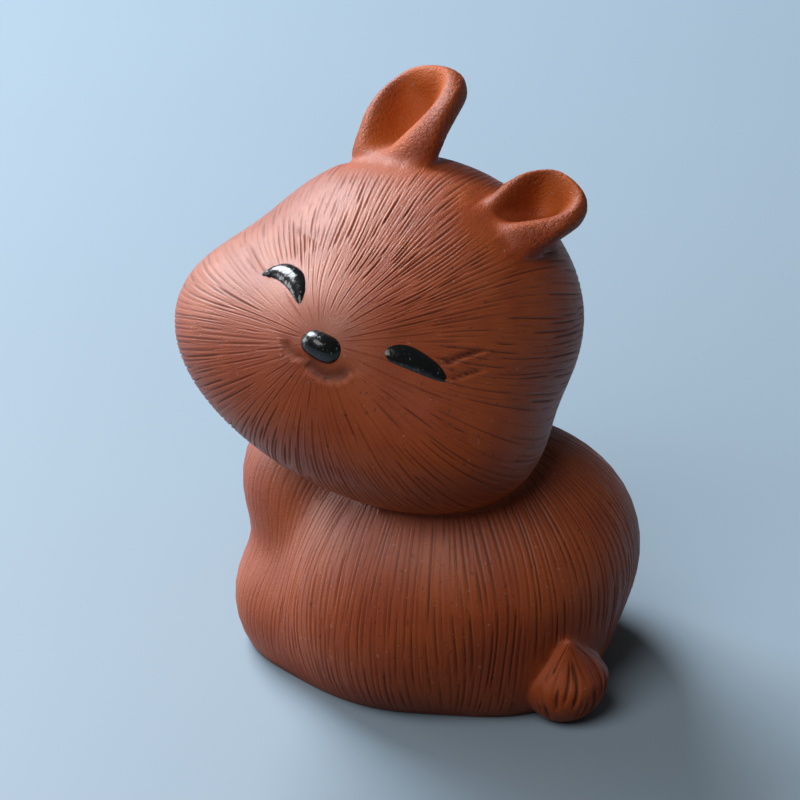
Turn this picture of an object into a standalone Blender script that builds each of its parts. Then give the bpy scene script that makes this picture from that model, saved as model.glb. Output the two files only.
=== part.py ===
# A tea pet: a small rabbit in unglazed red clay, pressed hollow in a mould as one piece,
# sitting with its head turned back over the haunch. The coat is combed in fine furrows,
# and the closed eyes and the nose are little pads of glaze, fired on.
# The frame is +Z up, with the origin on the ground below the middle of the foot.

from math import cos, pi, radians, sin

import bmesh
import bpy
import numpy as np
from mathutils import Matrix, Vector

MM = 0.001  # every length below is in millimetres, and every angle in degrees

# Main sizes: the body from chest to rump, and the head across.
BODY_SIZE = 40.0
HEAD_SIZE = 32.0

# Pose: the body turns from facing +Y towards -X, the head from facing -Y.
BODY_AT = (2.8, 0.8, 0.0)
BODY_TURN = 39.0
HEAD_AT = (-1.9, -1.5, 36.7)
HEAD_TURN = -22.1
HEAD_NOD = -19.5
HEAD_TILT = 17.9

# Clay wall round the two chambers, and the upright bore through the neck and the foot that vents them.
WALL = 3.6
VENT = 9.0
VENT_AT = (0.4, -0.3)

# The body is a few rounded masses run together. Each has a centre and radii, as shares of the body's size,
# given forward, to the side and up from the middle of the foot. A paired one stands on both sides.
BODY_BLEND = 1.5
BODY_MIDDLE = (0.0, 0.0, 0.225)
BACK = ((-0.1525, 0.0, 0.3375), (0.3875, 0.41, 0.3))
RUMP = ((-0.175, 0.0, 0.15), (0.3375, 0.2875, 0.25))
HAUNCH = ((-0.0925, 0.1825, 0.2325), (0.295, 0.2825, 0.2825))
FLANK = ((0.03, 0.2025, 0.1125), (0.225, 0.2125, 0.2))
KNEE = ((0.195, 0.2375, 0.1225), (0.2225, 0.2025, 0.2125))
CHEST = ((0.2225, 0.1525, 0.4325), (0.2375, 0.2375, 0.2375))

# Two plain front paws peep out between the knees.
PAW_REACH = 17.0
PAW_SPREAD = 3.7
PAW_LENGTH = 11.0
PAW_WIDTH = 6.8
PAW_HEIGHT = 6.0
PAW_SINK = 0.4

# The head's masses, as shares of its size, given across, back and up from its own middle.
HEAD_BLEND = 3.1
SKULL = ((0.0, 0.191, 0.106), (0.5, 0.4625, 0.403))
CHEEK = ((0.2625, -0.116, -0.159), (0.328, 0.353, 0.241))
FACE = ((0.0, -0.1, -0.131), (0.431, 0.375, 0.331))
MUZZLE = ((0.0, -0.4125, -0.025), (0.131, 0.1, 0.1125))

# Ears: thick lobes, each with a pocket pressed into its front and rooted in the crown. They were
# bent by hand, so each has its own place, length out of the crown, width and bend.
# A bend is splay to the side, lean to the back, curl towards the tip and twist of the front.
EAR_SINK = 2.2
EAR_THICK = 4.8
EAR_POCKET = 3.4
EAR_POCKET_WIDTH = 0.76
EAR_POCKET_SHIFT = 0.16
EAR_LEFT_SIDE = 8.0
EAR_LEFT_BACK = 3.2
EAR_LEFT_LENGTH = 11.0
EAR_LEFT_WIDTH = 9.6
EAR_LEFT_BEND = (8.0, 10.0, 52.0, -19.0)
EAR_RIGHT_SIDE = 5.7
EAR_RIGHT_BACK = 0.4
EAR_RIGHT_LENGTH = 8.0
EAR_RIGHT_WIDTH = 7.9
EAR_RIGHT_BEND = (26.5, 18.0, 47.5, -15.0)

# The tail is a small fluted bud behind the foot.
TAIL_BACK = 19.6
TAIL_WIDTH = 9.0
TAIL_HEIGHT = 9.4
TAIL_SINK = 0.3
TAIL_FLUTES = 9
TAIL_FLUTE_DEPTH = 0.45

# Glazed pads and lips on the face: how far to the side and up, length, width, arch, tilt and relief.
EYE_LEFT_SIDE = -6.9
EYE_LEFT_UP = 2.7
EYE_LEFT_LENGTH = 5.8
EYE_LEFT_WIDTH = 1.5
EYE_LEFT_ARCH = 1.25
EYE_RIGHT_SIDE = 8.4
EYE_RIGHT_UP = 1.95
EYE_RIGHT_LENGTH = 5.8
EYE_RIGHT_WIDTH = 1.6
EYE_RIGHT_ARCH = 0.4
EYE_RIGHT_TILT = 6.0
EYE_PROUD = 0.45
NOSE_UP = -0.4
NOSE_WIDTH = 4.3
NOSE_HEIGHT = 2.6
NOSE_PROUD = 1.0
LIP_SIDE = 2.3
LIP_UP = -3.0
LIP_LENGTH = 4.2
LIP_WIDTH = 0.7
LIP_ARCH = -1.0
LIP_PROUD = 0.3

# Combed furrows: how many go round, how deep, and where they start and stop.
HEAD_FURROWS = 64
HEAD_FURROW_SPAN = (16.0, 150.0)
BODY_FURROWS = 64
BODY_FURROW_SPAN = (35.0, 122.0)
FURROW_DEPTH = 0.4
FURROW_FADE = 8.0
FURROW_STAGGER = 20.0
BARE_ROUND_EAR = 7.5

# Facets: rings from pole to pole of each form, and segments round the smaller ones.
HEAD_RINGS = 18
BODY_RINGS = 16
EAR_FACETS = (36, 18)
CHAMBER_FACETS = (20, 10)
PAW_FACETS = (16, 8)
PAD_FACETS = (14, 7)
LIP_FACETS = (10, 5)
TAIL_RINGS = 10
SHARP_FURROW = 30.0
SHARP_FORM = 60.0

CLAY = (0.300, 0.068, 0.026)
CLAY_ROUGHNESS = 0.55


def sized(mass, size):
    centre, radii = mass
    return tuple(size * v for v in centre), tuple(size * v for v in radii)


def pair(mass, axis):
    """The mass and its mirror image across the middle."""
    centre, radii = mass
    other = list(centre)
    other[axis] = -other[axis]
    return [mass, (tuple(other), radii)]


BODY_SHARES = [BACK, RUMP] + pair(HAUNCH, 1) + pair(FLANK, 1) + pair(KNEE, 1) + pair(CHEST, 1)
BODY_MASSES = [sized(mass, BODY_SIZE) for mass in BODY_SHARES]
BODY_CENTRE = np.asarray(BODY_MIDDLE) * BODY_SIZE
HEAD_SHARES = [SKULL, FACE, MUZZLE] + pair(CHEEK, 0)
HEAD_MASSES = [sized(mass, HEAD_SIZE) for mass in HEAD_SHARES]


def turn(axis, degrees):
    return np.array(Matrix.Rotation(radians(degrees), 3, axis))


BODY_AXES = turn("Z", BODY_TURN + 90.0)
HEAD_AXES = turn("Z", HEAD_TURN) @ turn("X", HEAD_NOD) @ turn("Y", HEAD_TILT)


def body_to_world(points):
    return np.asarray(BODY_AT) + points @ BODY_AXES.T


def head_to_world(points):
    return np.asarray(HEAD_AT) + points @ HEAD_AXES.T


def clay_field(points, masses, blend):
    """Roughly the distance to the blended masses, below zero inside."""
    depths = []
    for centre, radii in masses:
        away = (points - centre) / np.asarray(radii)
        reach = np.linalg.norm(away, axis=-1)
        slope = np.linalg.norm(away / np.asarray(radii), axis=-1)
        depths.append(reach * (reach - 1.0) / np.maximum(slope, 1e-6))
    depths = np.array(depths)
    nearest = depths.min(0)
    return nearest - blend * np.log(np.exp((nearest - depths) / blend).sum(0))


def surface_along(start, direction, masses, blend, inset=0.0):
    """The place where a ray from inside the clay leaves it, or leaves it less an inset."""
    low = np.zeros(len(direction))
    high = np.full(len(direction), 45.0)
    for _ in range(30):
        middle = 0.5 * (low + high)
        inside = clay_field(start + direction * middle[:, None], masses, blend) < -inset
        low = np.where(inside, middle, low)
        high = np.where(inside, high, middle)
    return start + direction * middle[:, None]


def outward(points, masses, blend):
    step = 0.05
    shifts = np.eye(3) * step
    slope = [clay_field(points + s, masses, blend) - clay_field(points - s, masses, blend) for s in shifts]
    slope = np.stack(slope, -1)
    return slope / np.linalg.norm(slope, axis=-1, keepdims=True)


def smooth(value, low, high):
    share = np.clip((value - low) / (high - low), 0.0, 1.0)
    return share * share * (3.0 - 2.0 * share)


def furrow(around, down, count, span):
    """Furrow depth at angles around and down from the pole; neighbours differ in depth, start and stop."""
    lane = np.round(around * count / (2.0 * pi)) % count
    shift = FURROW_STAGGER * ((lane * 0.618) % 1.0)
    begin = smooth(down, span[0] + shift, span[0] + shift + FURROW_FADE)
    end = 1.0 - smooth(down, span[1] - shift - FURROW_FADE, span[1] - shift)
    depth = FURROW_DEPTH * (0.5 + 0.5 * ((lane * 0.382) % 1.0))
    return depth * (0.5 + 0.5 * np.cos(count * around)) * begin * end


def ball(segments, rings, pole=None):
    """A unit sphere as a bmesh, and its vertices as an array."""
    bm = bmesh.new()
    bmesh.ops.create_uvsphere(bm, u_segments=segments, v_segments=rings, radius=1.0, matrix=pole or Matrix())
    return bm, np.array([v.co for v in bm.verts])


def finish(name, bm, points, collection, cutter=True, sharp=SHARP_FORM):
    for vertex, point in zip(bm.verts, points):
        vertex.co = Vector(point) * MM
    bmesh.ops.recalc_face_normals(bm, faces=bm.faces)
    mesh = bpy.data.meshes.new(name)
    bm.to_mesh(mesh)
    bm.free()
    mesh.shade_smooth()
    mesh.set_sharp_from_angle(angle=radians(sharp))
    obj = bpy.data.objects.new(name, mesh)
    collection.objects.link(obj)
    if cutter:
        obj.hide_render = True
        obj.display_type = "WIRE"
    return obj


def crown(side, back):
    """The top of the head above a place beside and behind its middle."""
    start = np.array([[side, back, 0.0]])
    return surface_along(start, np.array([[0.0, 0.0, 1.0]]), HEAD_MASSES, HEAD_BLEND)[0]


EAR_LEFT_ROOT = crown(-EAR_LEFT_SIDE, EAR_LEFT_BACK)
EAR_RIGHT_ROOT = crown(EAR_RIGHT_SIDE, EAR_RIGHT_BACK)


def head_skin(directions):
    middle = np.zeros(3)
    points = surface_along(middle, directions, HEAD_MASSES, HEAD_BLEND)
    around = np.arctan2(directions[:, 0], directions[:, 2])
    down = np.degrees(np.arccos(np.clip(-directions[:, 1], -1.0, 1.0)))
    depth = furrow(around, down, HEAD_FURROWS, HEAD_FURROW_SPAN)
    for root in (EAR_LEFT_ROOT, EAR_RIGHT_ROOT):
        gap = np.linalg.norm(points - root, axis=1)
        depth = depth * smooth(gap, 0.6 * BARE_ROUND_EAR, BARE_ROUND_EAR)
    return points - directions * depth[:, None]


def body_skin(directions):
    points = surface_along(BODY_CENTRE, directions, BODY_MASSES, BODY_BLEND)
    around = np.arctan2(directions[:, 1], directions[:, 0])
    down = np.degrees(np.arccos(np.clip(directions[:, 2], -1.0, 1.0)))
    depth = furrow(around, down, BODY_FURROWS, BODY_FURROW_SPAN)
    return points - directions * depth[:, None]


def make_head(collection):
    towards_nose = Matrix.Rotation(radians(90.0), 4, "X")
    bm, directions = ball(2 * HEAD_FURROWS, HEAD_RINGS, towards_nose)
    return finish("head_form", bm, head_to_world(head_skin(directions)), collection, True, SHARP_FURROW)


def make_body(name, collection):
    bm, directions = ball(2 * BODY_FURROWS, BODY_RINGS)
    return finish(name, bm, body_to_world(body_skin(directions)), collection, False, SHARP_FURROW)


def ear_section(unit):
    """The ear before it is bent: across, behind, and the share of the way from root to tip."""
    along = 0.5 * (unit[:, 2] + 1.0)
    girth = np.sqrt(np.clip(1.0 - unit[:, 2] ** 2, 0.0, 1.0))
    around = np.arctan2(unit[:, 1], unit[:, 0])
    # A blunt tip, and nearly the full width down to the root.
    across = np.cos(around) * np.where(along > 0.5, girth**0.6, np.minimum(2.2 * girth, 1.0))
    full = np.minimum(1.6 * girth, 1.0)
    front_to_back = np.sign(unit[:, 1]) * np.abs(np.sin(around)) ** 0.85
    # The pocket is a drop inside a thick rounded rim. It closes to a point off to one side of the root.
    spread = smooth(along, 0.2, 0.7)
    pocket_width = EAR_POCKET_WIDTH * (0.5 + 0.5 * spread)
    aside = np.cos(around) + EAR_POCKET_SHIFT * (1.0 - spread)
    pocket = np.clip(1.0 - (aside / pocket_width) ** 2, 0.0, 1.0) ** 1.4
    pocket = pocket * smooth(along, 0.04, 0.4) * (1.0 - smooth(along, 0.68, 0.93)) * (unit[:, 1] < 0.0)
    behind = full * (0.5 * EAR_THICK * front_to_back + EAR_POCKET * pocket)
    return across, behind, along


def make_ear(name, root, side, length, width, bend, collection):
    splay, lean, curl, twist = bend
    length += EAR_SINK
    bm, unit = ball(*EAR_FACETS)
    across, behind, along = ear_section(unit)
    across = 0.5 * width * across
    x = across * cos(radians(twist)) - behind * sin(radians(twist))
    y = across * sin(radians(twist)) + behind * cos(radians(twist))
    # The centre line leaves the crown nearly upright and curls back towards the tip.
    run = np.linspace(0.0, 1.0, 101)
    angle = np.radians(lean + curl * run)
    back_line = length * np.concatenate([[0.0], np.cumsum(np.sin(angle[1:]))]) / 100.0
    up_line = length * np.concatenate([[0.0], np.cumsum(np.cos(angle[1:]))]) / 100.0
    here = np.interp(along, run, angle)
    back = np.interp(along, run, back_line) + y * np.cos(here)
    up = np.interp(along, run, up_line) - y * np.sin(here)
    lobe = np.stack([x, back, up], 1) @ turn("Y", side * splay).T
    foot = root - np.array([0.0, 0.0, EAR_SINK])
    return finish(name, bm, head_to_world(foot + lobe), collection)


def make_tail(collection):
    bm, unit = ball(2 * TAIL_FLUTES, TAIL_RINGS)
    around = np.arctan2(unit[:, 1], unit[:, 0])
    girth = np.sqrt(np.clip(1.0 - unit[:, 2] ** 2, 0.0, 1.0))
    flute = TAIL_FLUTE_DEPTH * (0.5 + 0.5 * np.cos(TAIL_FLUTES * around)) * girth
    radius = 0.5 * TAIL_WIDTH * np.ones_like(girth) - flute
    point = np.stack([unit[:, 0] * radius, unit[:, 1] * radius, unit[:, 2] * 0.5 * TAIL_HEIGHT], 1)
    # It narrows to a soft point at the top.
    lift = np.clip(unit[:, 2], 0.0, 1.0)
    point[:, :2] *= (1.0 - 0.35 * lift**2)[:, None]
    place = np.array([-TAIL_BACK, 0.0, 0.5 * TAIL_HEIGHT - TAIL_SINK])
    return finish("tail_form", bm, body_to_world(place + point), collection)


def on_face(x, up):
    """Points on the front of the head at a side offset and a height."""
    start = np.stack([x, np.full_like(x, -4.0), up], 1)
    return surface_along(start, np.array([[0.0, -1.0, 0.0]]).repeat(len(x), 0), HEAD_MASSES, HEAD_BLEND)


def make_pad(name, side, up, length, width, arch, tilt, proud, collection, facets=PAD_FACETS):
    """A rounded pad laid along an arch on the face, half sunk in the clay."""
    bm, unit = ball(*facets, Matrix.Rotation(radians(90.0), 4, "Y"))
    along = unit[:, 0] * 0.5 * length
    across = unit[:, 2] * 0.5 * width + arch * (1.0 - unit[:, 0] ** 2)
    lean = radians(tilt)
    x = side + along * cos(lean) + across * sin(lean)
    z = up - 0.5 * arch - along * sin(lean) + across * cos(lean)
    base = on_face(x, z)
    normal = outward(base, HEAD_MASSES, HEAD_BLEND)
    lift = -unit[:, 1] * proud
    return finish(name, bm, head_to_world(base + normal * lift[:, None]), collection)


def make_face(collection):
    left_eye = (EYE_LEFT_SIDE, EYE_LEFT_UP, EYE_LEFT_LENGTH, EYE_LEFT_WIDTH, EYE_LEFT_ARCH, 0.0, EYE_PROUD)
    right_eye = (EYE_RIGHT_SIDE, EYE_RIGHT_UP, EYE_RIGHT_LENGTH, EYE_RIGHT_WIDTH, EYE_RIGHT_ARCH)
    lip = (LIP_UP, LIP_LENGTH, LIP_WIDTH, LIP_ARCH, 0.0, LIP_PROUD, collection, LIP_FACETS)
    return [
        make_pad("eye_left_pad", *left_eye, collection),
        make_pad("eye_right_pad", *right_eye, EYE_RIGHT_TILT, EYE_PROUD, collection),
        make_pad("nose_pad", 0.0, NOSE_UP, NOSE_WIDTH, NOSE_HEIGHT, 0.0, 0.0, NOSE_PROUD, collection),
        make_pad("lip_left_pad", -LIP_SIDE, *lip),
        make_pad("lip_right_pad", LIP_SIDE, *lip),
    ]


def make_chambers(collection):
    """The two hollows, the passage through the neck and the vent, as cutters."""
    bm, directions = ball(*CHAMBER_FACETS)
    low = surface_along(BODY_CENTRE, directions, BODY_MASSES, BODY_BLEND, WALL)
    low[:, 2] = np.maximum(low[:, 2], WALL)
    body_chamber = finish("body_chamber", bm, body_to_world(low), collection)
    bm, directions = ball(*CHAMBER_FACETS)
    high = surface_along(np.zeros(3), directions, HEAD_MASSES, HEAD_BLEND, WALL)
    head_chamber = finish("head_chamber", bm, head_to_world(high), collection)
    return body_chamber, head_chamber


def make_vent(collection):
    """One upright rod through the foot and the neck, up to the middle of the head."""
    bm = bmesh.new()
    bmesh.ops.create_cone(bm, cap_ends=True, segments=16, radius1=0.5, radius2=0.5, depth=1.0)
    unit = np.array([v.co for v in bm.verts])
    height = HEAD_AT[2] + WALL
    rod = unit * np.array([VENT, VENT, height]) + np.array([*VENT_AT, 0.5 * height - WALL])
    return finish("vent_bore", bm, rod, collection)


def make_paw(name, side, collection):
    bm, unit = ball(*PAW_FACETS)
    half = 0.5 * np.array([PAW_LENGTH, PAW_WIDTH, PAW_HEIGHT])
    place = np.array([PAW_REACH - half[0], side * PAW_SPREAD, half[2] - PAW_SINK])
    return finish(name, bm, body_to_world(place + unit * half), collection)


def make_ground(collection):
    """A block below the ground, which cuts the flat foot."""
    bm = bmesh.new()
    bmesh.ops.create_cube(bm, size=1.0)
    side, depth = 2.0 * BODY_SIZE, 0.5 * BODY_SIZE
    corners = np.array([v.co for v in bm.verts]) * np.array([side, side, depth]) - np.array([0.0, 0.0, 0.5 * depth])
    return finish("ground_block", bm, corners, collection)


def combine(target, other, operation):
    step = target.modifiers.new(other.name, "BOOLEAN")
    step.object = other
    step.operation = operation
    step.solver = "EXACT"


def clay_material():
    material = bpy.data.materials.new("red_clay")
    material.use_nodes = True
    shader = material.node_tree.nodes["Principled BSDF"]
    shader.inputs["Base Color"].default_value = (*CLAY, 1.0)
    shader.inputs["Roughness"].default_value = CLAY_ROUGHNESS
    shader.inputs["Metallic"].default_value = 0.0
    return material


def main():
    for old in list(bpy.data.objects):
        bpy.data.objects.remove(old)
    figure = bpy.data.collections.new("tea_pet")
    forms = bpy.data.collections.new("tea_pet_forms")
    bpy.context.scene.collection.children.link(figure)
    bpy.context.scene.collection.children.link(forms)

    rabbit = make_body("rabbit_figure", figure)
    rabbit.data.materials.append(clay_material())
    left = (EAR_LEFT_ROOT, -1, EAR_LEFT_LENGTH, EAR_LEFT_WIDTH, EAR_LEFT_BEND)
    right = (EAR_RIGHT_ROOT, 1, EAR_RIGHT_LENGTH, EAR_RIGHT_WIDTH, EAR_RIGHT_BEND)
    added = [make_head(forms), make_tail(forms)]
    added += [make_paw("paw_left_form", 1, forms), make_paw("paw_right_form", -1, forms)]
    added += [make_ear("ear_left_form", *left, forms), make_ear("ear_right_form", *right, forms)]
    added += make_face(forms)
    for form in added:
        combine(rabbit, form, "UNION")

    for cutter in (*make_chambers(forms), make_vent(forms), make_ground(forms)):
        combine(rabbit, cutter, "DIFFERENCE")


main()
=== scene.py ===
# A small clay rabbit for the tea tray: red clay, combed all over like fur, with glazed eyes and nose.
from math import cos, pi, radians, sin

import bmesh
import bpy
import numpy as np
from mathutils import Matrix, Vector
from mathutils.kdtree import KDTree


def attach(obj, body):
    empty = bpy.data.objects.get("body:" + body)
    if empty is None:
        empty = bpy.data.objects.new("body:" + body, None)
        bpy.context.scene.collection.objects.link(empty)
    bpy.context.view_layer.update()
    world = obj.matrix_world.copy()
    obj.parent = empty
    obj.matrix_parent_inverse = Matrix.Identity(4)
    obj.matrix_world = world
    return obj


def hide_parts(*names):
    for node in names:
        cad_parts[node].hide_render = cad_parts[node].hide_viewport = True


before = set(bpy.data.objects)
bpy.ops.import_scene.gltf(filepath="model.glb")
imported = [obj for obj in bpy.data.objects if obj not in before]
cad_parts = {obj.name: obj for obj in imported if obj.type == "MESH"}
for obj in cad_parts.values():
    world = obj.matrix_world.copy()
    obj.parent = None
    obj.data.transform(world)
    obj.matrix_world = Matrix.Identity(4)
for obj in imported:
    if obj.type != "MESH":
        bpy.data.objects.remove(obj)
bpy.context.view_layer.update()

mm = 0.001  # the forms below are in millimetres
rng = np.random.default_rng(11)

# the two masses of the figure: where they stand, how they turn, and the rounded lumps that each is made of
# (middle and radii), single ones and ones that have a twin on the other side; blend is how softly they run together
bodyForm = {
    "at": (2.8, 0.8, 0.0),
    "turn": 39.0,
    "blend": 1.5,
    "middle": (0.0, 0.0, 9.0),
    "single": [((-6.1, 0.0, 13.5), (15.5, 16.4, 12.0)), ((-7.0, 0.0, 6.0), (13.5, 11.5, 10.0))],
    "paired": [
        ((-3.7, 7.3, 9.3), (11.8, 11.3, 11.3)),
        ((1.2, 8.1, 4.5), (9.0, 8.5, 8.0)),
        ((7.8, 9.5, 4.9), (8.9, 8.1, 8.5)),
        ((8.9, 6.1, 17.3), (9.5, 9.5, 9.5)),
    ],
}
headForm = {
    "at": (-1.9, -1.5, 36.7),
    "turn": -22.1,
    "nod": -19.5,
    "tilt": 17.9,
    "blend": 3.1,
    "single": [
        ((0.0, 6.1, 3.4), (16.0, 14.8, 12.9)),
        ((0.0, -3.2, -4.2), (13.8, 12.0, 10.6)),
        ((0.0, -13.2, -0.8), (4.2, 3.2, 3.6)),
    ],
    "paired": [((8.4, -3.7, -5.1), (10.5, 11.3, 7.7))],
}


def turned(axis, degrees):
    return np.array(Matrix.Rotation(radians(degrees), 3, axis))


bodyAxes = turned("Z", bodyForm["turn"] + 90.0)
headAxes = turned("Z", headForm["turn"]) @ turned("X", headForm["nod"]) @ turned("Y", headForm["tilt"])
bodyMasses = bodyForm["single"] + [((x, s * y, z), r) for (x, y, z), r in bodyForm["paired"] for s in (1, -1)]
headMasses = headForm["single"] + [((s * x, y, z), r) for (x, y, z), r in headForm["paired"] for s in (1, -1)]


def bodyOut(points):
    return np.asarray(bodyForm["at"]) + points @ bodyAxes.T


def bodyIn(points):
    return (points - np.asarray(bodyForm["at"])) @ bodyAxes


def headOut(points):
    return np.asarray(headForm["at"]) + points @ headAxes.T


def headIn(points):
    return (points - np.asarray(headForm["at"])) @ headAxes


def clayField(points, masses, blend):  # roughly the distance to the run-together masses, below zero inside
    depths = []
    for centre, radii in masses:
        away = (points - centre) / np.asarray(radii)
        reach = np.linalg.norm(away, axis=-1)
        slope = np.linalg.norm(away / np.asarray(radii), axis=-1)
        depths.append(reach * (reach - 1.0) / np.maximum(slope, 1e-6))
    depths = np.array(depths)
    nearest = depths.min(0)
    return nearest - blend * np.log(np.exp((nearest - depths) / blend).sum(0))


def surfaceAlong(start, direction, masses, blend, inset=0.0):  # where a ray from inside leaves the clay
    low = np.zeros(len(direction))
    high = np.full(len(direction), 45.0)  # further than any ray has to go
    for _ in range(26):  # halved this often, the answer is as fine as the mesh can hold
        middle = 0.5 * (low + high)
        inside = clayField(start + direction * middle[:, None], masses, blend) < -inset
        low = np.where(inside, middle, low)
        high = np.where(inside, high, middle)
    return start + direction * middle[:, None]


def facing(points, masses, blend):  # outward direction of the clay's surface
    shifts = np.eye(3) * 0.05
    slope = [clayField(points + s, masses, blend) - clayField(points - s, masses, blend) for s in shifts]
    slope = np.stack(slope, -1)
    return slope / np.linalg.norm(slope, axis=-1, keepdims=True)


def smooth(value, low, high):
    share = np.clip((value - low) / (high - low), 0.0, 1.0)
    return share * share * (3.0 - 2.0 * share)


# plain mesh handling

def ballMesh(name, segments, rings, axes=None):  # a ball rolled up from a flat sheet; it gives back its unit points
    bm = bmesh.new()
    bmesh.ops.create_grid(bm, x_segments=segments, y_segments=rings, size=1.0)
    for vertex in bm.verts:
        around, down = pi * vertex.co.x, 0.5 * pi * (1.0 - vertex.co.y)
        vertex.co = (sin(down) * cos(around), sin(down) * sin(around), cos(down))
    bmesh.ops.remove_doubles(bm, verts=bm.verts, dist=1e-5)
    if axes:
        bmesh.ops.transform(bm, matrix=axes, verts=bm.verts)
    mesh = bpy.data.meshes.new(name)
    bm.to_mesh(mesh)
    bm.free()
    return mesh, placesOf(mesh)


def placesOf(mesh):
    places = np.empty(len(mesh.vertices) * 3)
    mesh.vertices.foreach_get("co", places)
    return places.reshape(-1, 3)


def setPlaces(mesh, points):
    mesh.vertices.foreach_set("co", (points * mm).ravel())
    mesh.update()


def facedOut(mesh):
    bm = bmesh.new()
    bm.from_mesh(mesh)
    bmesh.ops.recalc_face_normals(bm, faces=bm.faces)
    bm.to_mesh(mesh)
    bm.free()


def newPiece(name, mesh):
    piece = bpy.data.objects.new(name, mesh)
    bpy.context.scene.collection.objects.link(piece)
    return piece


def shaped(name, mesh, points):
    setPlaces(mesh, points)
    facedOut(mesh)
    return newPiece(name, mesh)


def joined(base, others, operation):  # one Boolean after another, then the result as a plain mesh
    for other in others:
        step = base.modifiers.new(other.name, "BOOLEAN")
        step.object = other
        step.operation = operation
        step.solver = "MANIFOLD"
    bpy.context.view_layer.update()
    mesh = bpy.data.meshes.new_from_object(base.evaluated_get(bpy.context.evaluated_depsgraph_get()))
    name = base.name
    for used in [base, *others]:
        bpy.data.objects.remove(used)
    return newPiece(name, mesh)


# head and body as smooth skins, with their columns of points laid the way the comb ran

skin = {  # crowd: how far the rows draw together at the nose; sway: size, waves round, waves down and start
    "head": {
        "columns": 800,
        "rows": 76,
        "crowd": 0.25,
        "sway": [(0.030, 3, 1.7, 0.4), (0.017, 7, 2.9, 2.1), (0.008, 13, 5.2, 4.4)],
    },
    "body": {
        "columns": 840,
        "rows": 44,
        "sway": [(0.022, 3, 1.9, 1.2), (0.012, 8, 3.4, 0.3), (0.007, 15, 6.1, 3.0)],
    },
}


def swayed(around, down, waves):  # the comb never ran quite straight
    shifts = (size * np.sin(count * around + along * down + start) for size, count, along, start in waves)
    return around + sum(shifts)


def unswayed(around, down, waves):
    straight = around.copy()
    for _ in range(8):
        straight = around - (swayed(straight, down, waves) - straight)
    return straight


def headShape():
    plan = skin["head"]
    mesh, unit = ballMesh("head", plan["columns"], plan["rows"])
    down = np.arccos(np.clip(unit[:, 2], -1.0, 1.0)) / pi
    around = np.arctan2(unit[:, 1], unit[:, 0])
    down = pi * (plan["crowd"] * down + (1.0 - plan["crowd"]) * down**2)  # rows crowd towards the nose
    around = swayed(around, down, plan["sway"])
    way = np.stack([np.sin(down) * np.sin(around), -np.cos(down), np.sin(down) * np.cos(around)], 1)
    return shaped("head", mesh, headOut(surfaceAlong(np.zeros(3), way, headMasses, headForm["blend"])))


def bodyShape():
    plan = skin["body"]
    mesh, unit = ballMesh("rabbit", plan["columns"], plan["rows"])
    down = np.arccos(np.clip(unit[:, 2], -1.0, 1.0))
    around = swayed(np.arctan2(unit[:, 1], unit[:, 0]), down, plan["sway"])
    way = np.stack([np.sin(down) * np.cos(around), np.sin(down) * np.sin(around), np.cos(down)], 1)
    points = surfaceAlong(np.asarray(bodyForm["middle"]), way, bodyMasses, bodyForm["blend"])
    return shaped("rabbitClay", mesh, bodyOut(points))


# ears: a thick lobe each with a pocket pressed in its front, bent by hand, so no two alike

earForm = {  # spans are shares of the ear's length, from its root to its tip
    "mesh": (80, 52),
    "sink": 2.2,
    "thick": 4.8,
    "flare": 2.2,  # how fast the lobe widens from its root
    "fill": 1.6,  # how fast it thickens from its ends
    "blunt": 0.6,  # below 1, its tip is fuller than an oval's
    "squared": 0.8,  # below 1, its rims are squarer than an oval's
    "pocket": 4.1,
    "pocketWidth": 0.64,
    "pocketWall": 0.8,  # below 1, its walls are steeper than a bowl's
    "pocketStart": (0.04, 0.36),
    "pocketEnd": (0.7, 0.91),
    "spread": (0.2, 0.7),  # where the pocket opens from half its width to the whole
    "shift": 0.14,  # how far the pocket lies to one side, most at the root
    "cup": 1.3,
    "cupStart": (0.2, 0.5),
    "cupEnd": (0.6, 0.92),
    "pocketGlow": (0.6, 2.6),  # how far in from the rim the pocket starts, and is whole; there the clay carries a painted warm glow of light bounced in the hollow
    "pocketFacing": (-0.1, 0.6),  # the same for how far it faces forwards
    "left": {
        "side": -8.0, "back": 3.2, "length": 11.0, "width": 9.6,
        "splay": 8.0, "lean": 10.0, "curl": 52.0, "twist": -19.0,
    },
    "right": {
        "side": 5.7, "back": 0.4, "length": 8.0, "width": 7.9,
        "splay": 26.5, "lean": 18.0, "curl": 47.5, "twist": -15.0,
    },
}


def earRoot(bend):
    start = np.array([[bend["side"], bend["back"], 0.0]])
    return surfaceAlong(start, np.array([[0.0, 0.0, 1.0]]), headMasses, headForm["blend"])[0]


def earLine(bend):  # share of the way, lean, and the centre line from inside the crown to the tip, before the splay
    length = bend["length"] + earForm["sink"]
    run = np.linspace(0.0, 1.0, 101)
    angle = np.radians(bend["lean"] + bend["curl"] * run)
    back = length * np.concatenate([[0.0], np.cumsum(np.sin(angle[1:]))]) / 100.0
    up = length * np.concatenate([[0.0], np.cumsum(np.cos(angle[1:]))]) / 100.0
    return run, angle, back, up


def earPlaced(bend, points):  # splayed and set on the crown, in the head's frame
    root = earRoot(bend) - np.array([0.0, 0.0, earForm["sink"]])
    return root + points @ turned("Y", np.sign(bend["side"]) * bend["splay"]).T


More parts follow.
